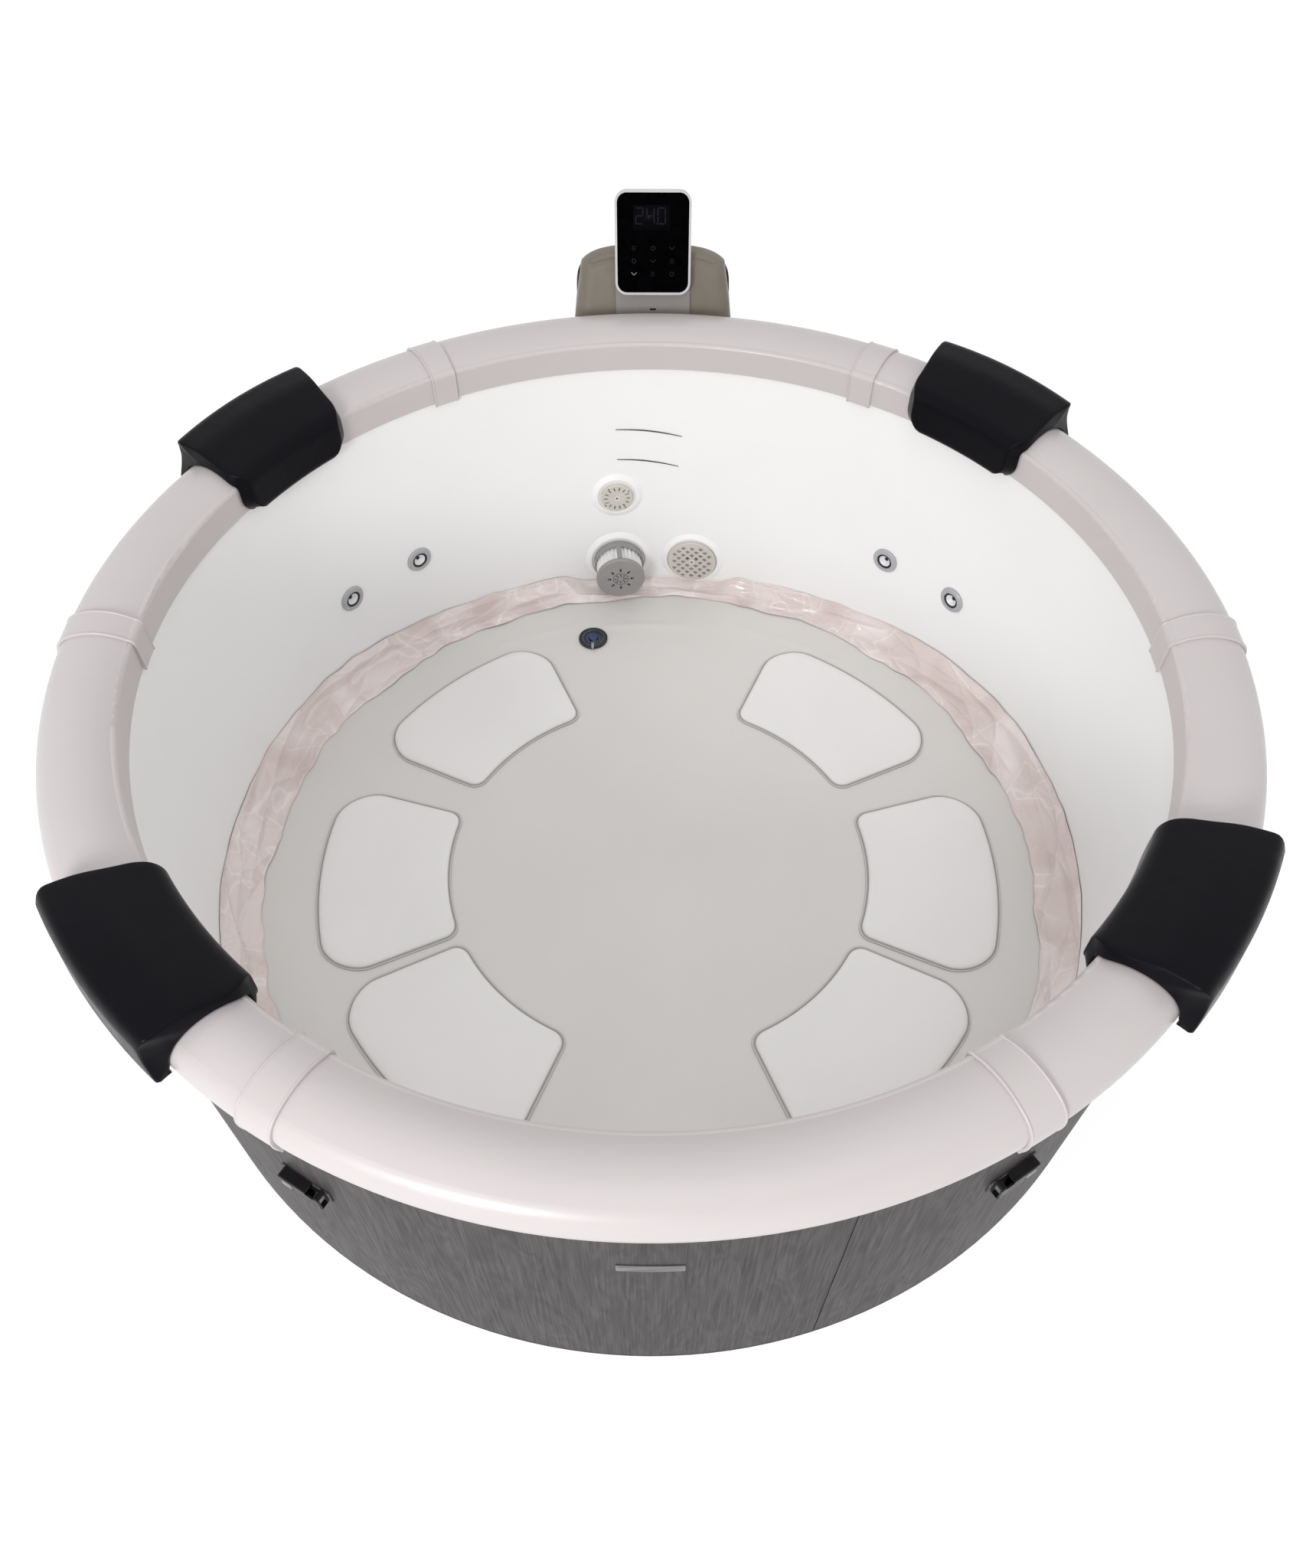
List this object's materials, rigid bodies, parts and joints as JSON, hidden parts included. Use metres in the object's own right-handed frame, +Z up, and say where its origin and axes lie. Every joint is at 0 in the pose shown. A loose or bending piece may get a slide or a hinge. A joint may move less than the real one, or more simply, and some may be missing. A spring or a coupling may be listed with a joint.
{
  "type": "hot tub",
  "caption": "Round hot tub with foam-core wall, segmented moulded rim, headrests, hydro jets, padded floor, filter and a control box with a dockable remote.",
  "frame": {"origin": "middle of the round tub, on the ground", "axes": "+Z up, +Y from the middle of the tub to the control box at the back, +X to the right seen from the front"},
  "size_m": [1.9076, 2.2232, 0.8997],
  "materials": {
    "rim_plastic": "satin moulded plastic",
    "skirt_board": "grey wood-grain foil, satin",
    "wall_foam": "closed-cell foam",
    "frame_steel": "zinc-plated flat steel",
    "liner_vinyl": "smooth matt vinyl liner",
    "band_vinyl": "glossy crumpled vinyl",
    "mat_fabric": "needled ground mat",
    "pad_vinyl": "smooth padded vinyl",
    "headrest_foam": "matt skinned foam",
    "fitting_white": "matt white plastic",
    "grille_beige": "matt beige plastic",
    "nut_plastic": "matt grey plastic",
    "filter_grey": "matt grey plastic",
    "filter_paper": "pleated paper",
    "jet_grey": "satin grey plastic",
    "nozzle_white": "gloss white plastic",
    "hose_plastic": "flexible vinyl hose",
    "drain_navy": "navy plastic",
    "buckle_black": "black nylon",
    "strap_webbing": "woven webbing",
    "housing_plastic": "fine-grained plastic",
    "base_plastic": "black plastic",
    "dock_silver": "silver satin plastic",
    "remote_white": "white gloss plastic",
    "remote_black": "black glass",
    "pump_plastic": "black plastic",
    "heater_steel": "brushed steel"
  },
  "bodies": {
    "tub": {"rim_segment_1": "rim_plastic", "rim_segment_2": "rim_plastic", "rim_segment_3": "rim_plastic", "rim_segment_4": "rim_plastic", "rim_segment_5": "rim_plastic", "rim_segment_6": "rim_plastic", "rim_joint_cover_1": "rim_plastic", "rim_joint_cover_2": "rim_plastic", "rim_joint_cover_3": "rim_plastic", "rim_joint_cover_4": "rim_plastic", "rim_joint_cover_5": "rim_plastic", "rim_joint_cover_6": "rim_plastic", "skirt_panel_1": "skirt_board", "skirt_panel_2": "skirt_board", "skirt_panel_3": "skirt_board", "wall_core": "wall_foam", "base_board": "wall_foam", "frame_bars": "frame_steel", "bar_splices": "frame_steel", "wall_liner": "liner_vinyl", "floor_liner": "liner_vinyl", "liner_band": "band_vinyl", "ground_mat": "mat_fabric", "seat_pad_1": "pad_vinyl", "seat_pad_2": "pad_vinyl", "seat_pad_3": "pad_vinyl", "seat_pad_4": "pad_vinyl", "seat_pad_5": "pad_vinyl", "seat_pad_6": "pad_vinyl", "port_fittings": "fitting_white", "outlet_grille": "grille_beige", "air_grille": "grille_beige", "union_nuts": "nut_plastic", "jet_bodies": "jet_grey", "jet_hoses": "hose_plastic", "drain_body": "drain_navy", "buckle_socket_left": "buckle_black", "buckle_socket_right": "buckle_black", "buckle_straps": "strap_webbing", "control_housing": "housing_plastic", "control_base": "base_plastic", "cord_gland": "base_plastic", "dock_panel": "dock_silver", "circulation_pump": "pump_plastic", "air_blower": "pump_plastic", "heater_tube": "heater_steel"},
    "headrest_front_left": {"headrest_front_left": "headrest_foam"},
    "headrest_rear_left": {"headrest_rear_left": "headrest_foam"},
    "headrest_rear_right": {"headrest_rear_right": "headrest_foam"},
    "headrest_front_right": {"headrest_front_right": "headrest_foam"},
    "remote": {"remote_case": "remote_white", "remote_glass": "remote_black"},
    "filter": {"filter_collar": "filter_grey", "filter_cartridge": "filter_paper"},
    "filter_cap": {"filter_cap": "filter_grey"},
    "drain_plug": {"drain_plug": "drain_navy"},
    "jet_nozzle_1": {"jet_nozzle_1": "nozzle_white"},
    "jet_nozzle_2": {"jet_nozzle_2": "nozzle_white"},
    "jet_nozzle_3": {"jet_nozzle_3": "nozzle_white"},
    "jet_nozzle_4": {"jet_nozzle_4": "nozzle_white"}
  },
  "joints": [
    {"name": "lift_headrest_front_left", "type": "slide", "parent": "tub", "child": "headrest_front_left", "axis": [0, 0, 1], "range_m": [0, 0.15]},
    {"name": "lift_headrest_rear_left", "type": "slide", "parent": "tub", "child": "headrest_rear_left", "axis": [0, 0, 1], "range_m": [0, 0.15]},
    {"name": "lift_headrest_rear_right", "type": "slide", "parent": "tub", "child": "headrest_rear_right", "axis": [0, 0, 1], "range_m": [0, 0.15]},
    {"name": "lift_headrest_front_right", "type": "slide", "parent": "tub", "child": "headrest_front_right", "axis": [0, 0, 1], "range_m": [0, 0.15]},
    {"name": "slide_remote_off_dock", "type": "slide", "parent": "tub", "child": "remote", "axis": [0, 0.342, 0.9397], "range_m": [0, 0.165]},
    {"name": "pull_filter", "type": "slide", "parent": "tub", "child": "filter", "axis": [0.0976, -0.9952, 0], "range_m": [0, 0.12]},
    {"name": "turn_filter_cap", "type": "hinge", "parent": "filter", "child": "filter_cap", "pos_m": [-0.07416, 0.75637, 0.115], "axis": [0.0976, -0.9952, 0], "range_deg": [0, 60]},
    {"name": "lift_drain_plug", "type": "slide", "parent": "tub", "child": "drain_plug", "axis": [0, 0, 1], "range_m": [0, 0.06]},
    {"name": "turn_jet_1", "type": "hinge", "parent": "tub", "child": "jet_nozzle_1", "pos_m": [-0.64561, 0.52843, 0.264], "axis": [0.7738, -0.6334, 0], "range_deg": [0, 120]},
    {"name": "turn_jet_2", "type": "hinge", "parent": "tub", "child": "jet_nozzle_2", "pos_m": [-0.51708, 0.65474, 0.264], "axis": [0.6198, -0.7848, 0], "range_deg": [0, 120]},
    {"name": "turn_jet_3", "type": "hinge", "parent": "tub", "child": "jet_nozzle_3", "pos_m": [0.51708, 0.65474, 0.264], "axis": [-0.6198, -0.7848, 0], "range_deg": [0, 120]},
    {"name": "turn_jet_4", "type": "hinge", "parent": "tub", "child": "jet_nozzle_4", "pos_m": [0.64561, 0.52843, 0.264], "axis": [-0.7738, -0.6334, 0], "range_deg": [0, 120]}
  ]
}
